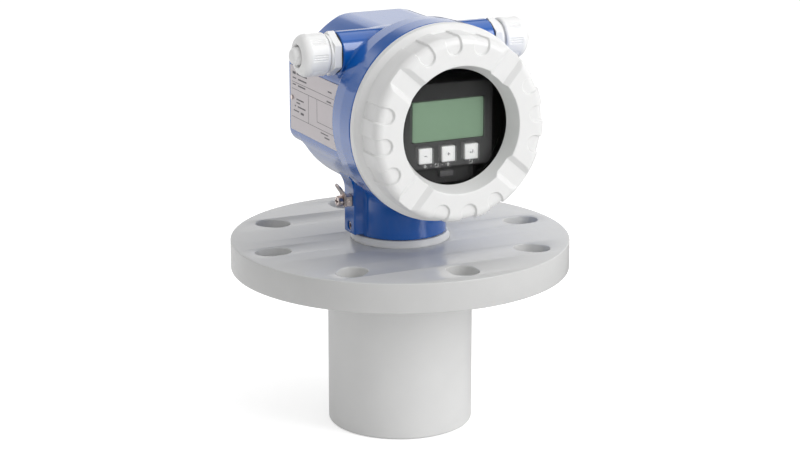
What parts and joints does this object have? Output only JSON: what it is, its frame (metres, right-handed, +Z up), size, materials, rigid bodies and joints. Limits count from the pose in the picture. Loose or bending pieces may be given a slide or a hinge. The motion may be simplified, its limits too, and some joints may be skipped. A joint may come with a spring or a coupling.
{
  "type": "ultrasonic level transmitter",
  "caption": "Field housing with a windowed screw cover and plug-in display on a swivel neck, carried by a slotted process flange with a cylindrical ultrasonic sensor below.",
  "frame": {"origin": "centre of the flange's lower sealing face", "axes": "+Z up along the sensor axis, -Y out of the display, +X to the right facing the display"},
  "size_m": [0.2286, 0.2286, 0.2844],
  "materials": {
    "grey_plastic": "satin",
    "sensor_plastic": "satin",
    "blue_enamel": "gloss",
    "white_enamel": "satin",
    "white_plastic": "satin",
    "seal_rubber": "matt",
    "clear_glass": "polished",
    "steel": "satin",
    "label_foil": "satin",
    "dark_plastic": "matt",
    "lcd_green": "satin",
    "key_plastic": "matt",
    "black_plastic": "matt",
    "green_plastic": "matt",
    "circuit_board": "satin",
    "piezo_ceramic": "matt",
    "epoxy": "matt",
    "foam": "open cell",
    "lead_jacket": "matt"
  },
  "bodies": {
    "sensor": {"process_flange": "grey_plastic", "sensor_tube": "sensor_plastic", "sensor_head": "sensor_plastic", "flange_o_ring": "seal_rubber", "swivel_o_ring": "seal_rubber", "lock_collar": "grey_plastic", "matching_layer": "epoxy", "piezo_disc": "piezo_ceramic", "damping_foam": "foam", "potting_plug": "epoxy", "sensor_lead": "lead_jacket"},
    "housing": {"housing_casting": "blue_enamel", "housing_rear": "blue_enamel", "housing_neck": "blue_enamel", "swivel_set_screw": "steel", "ground_block": "steel", "ground_clamp": "steel", "ground_screw": "steel", "name_plate": "label_foil", "plate_rivets": "steel", "electronics_pot": "black_plastic", "main_board": "circuit_board", "terminal_block": "green_plastic", "terminal_screws": "steel", "display_carrier": "dark_plastic", "display_latch": "dark_plastic", "display_housing": "dark_plastic", "lcd_pane": "lcd_green", "display_board": "circuit_board", "gland_washer_left": "seal_rubber", "gland_washer_right": "seal_rubber", "gland_body_left": "white_plastic", "gland_body_right": "white_plastic"},
    "cover_seal": {"cover_o_ring": "seal_rubber"},
    "cover": {"cover_ring": "white_enamel", "window_gasket": "seal_rubber", "window_glass": "clear_glass", "glass_retainer": "steel"},
    "minus_key": {"key_minus": "key_plastic"},
    "plus_key": {"key_plus": "key_plastic"},
    "enter_key": {"key_enter": "key_plastic"},
    "left_plug": {"gland_seal_left": "seal_rubber", "blind_plug_left": "white_plastic"},
    "left_nut": {"gland_nut_left": "white_plastic"},
    "right_plug": {"gland_seal_right": "seal_rubber", "blind_plug_right": "white_plastic"},
    "right_nut": {"gland_nut_right": "white_plastic"}
  },
  "joints": [
    {"name": "housing_swivel", "type": "hinge", "parent": "sensor", "child": "housing", "pos_m": [0, 0, 0.0246], "axis": [0, 0, 1], "range_deg": [-175, 175]},
    {"name": "cover_travel", "type": "slide", "parent": "housing", "child": "cover_seal", "axis": [0, -1, 0], "range_m": [0, 0.007]},
    {"name": "cover_turn", "type": "hinge", "parent": "cover_seal", "child": "cover", "pos_m": [0, -0.061, 0.1111], "axis": [0, -1, 0], "range_deg": [0, 1260]},
    {"name": "minus_key_press", "type": "slide", "parent": "housing", "child": "minus_key", "axis": [0, 1, 0], "range_m": [0, 0.0006], "stiffness_N_per_m": 900},
    {"name": "plus_key_press", "type": "slide", "parent": "housing", "child": "plus_key", "axis": [0, 1, 0], "range_m": [0, 0.0006], "stiffness_N_per_m": 900},
    {"name": "enter_key_press", "type": "slide", "parent": "housing", "child": "enter_key", "axis": [0, 1, 0], "range_m": [0, 0.0006], "stiffness_N_per_m": 900},
    {"name": "left_plug_travel", "type": "slide", "parent": "housing", "child": "left_plug", "axis": [-1, 0, 0], "range_m": [0, 0.006]},
    {"name": "left_nut_turn", "type": "hinge", "parent": "left_plug", "child": "left_nut", "pos_m": [-0.07, -0.0175, 0.1528], "axis": [-1, 0, 0], "range_deg": [0, 1440]},
    {"name": "right_plug_travel", "type": "slide", "parent": "housing", "child": "right_plug", "axis": [1, 0, 0], "range_m": [0, 0.006]},
    {"name": "right_nut_turn", "type": "hinge", "parent": "right_plug", "child": "right_nut", "pos_m": [0.07, -0.0175, 0.1528], "axis": [1, 0, 0], "range_deg": [0, 1440]}
  ],
  "couplings": [
    {"joint": "cover_travel", "follows": "cover_turn", "m_per_rad": 0.00031831},
    {"joint": "left_plug_travel", "follows": "left_nut_turn", "m_per_rad": 0.00023873},
    {"joint": "right_plug_travel", "follows": "right_nut_turn", "m_per_rad": 0.00023873}
  ]
}
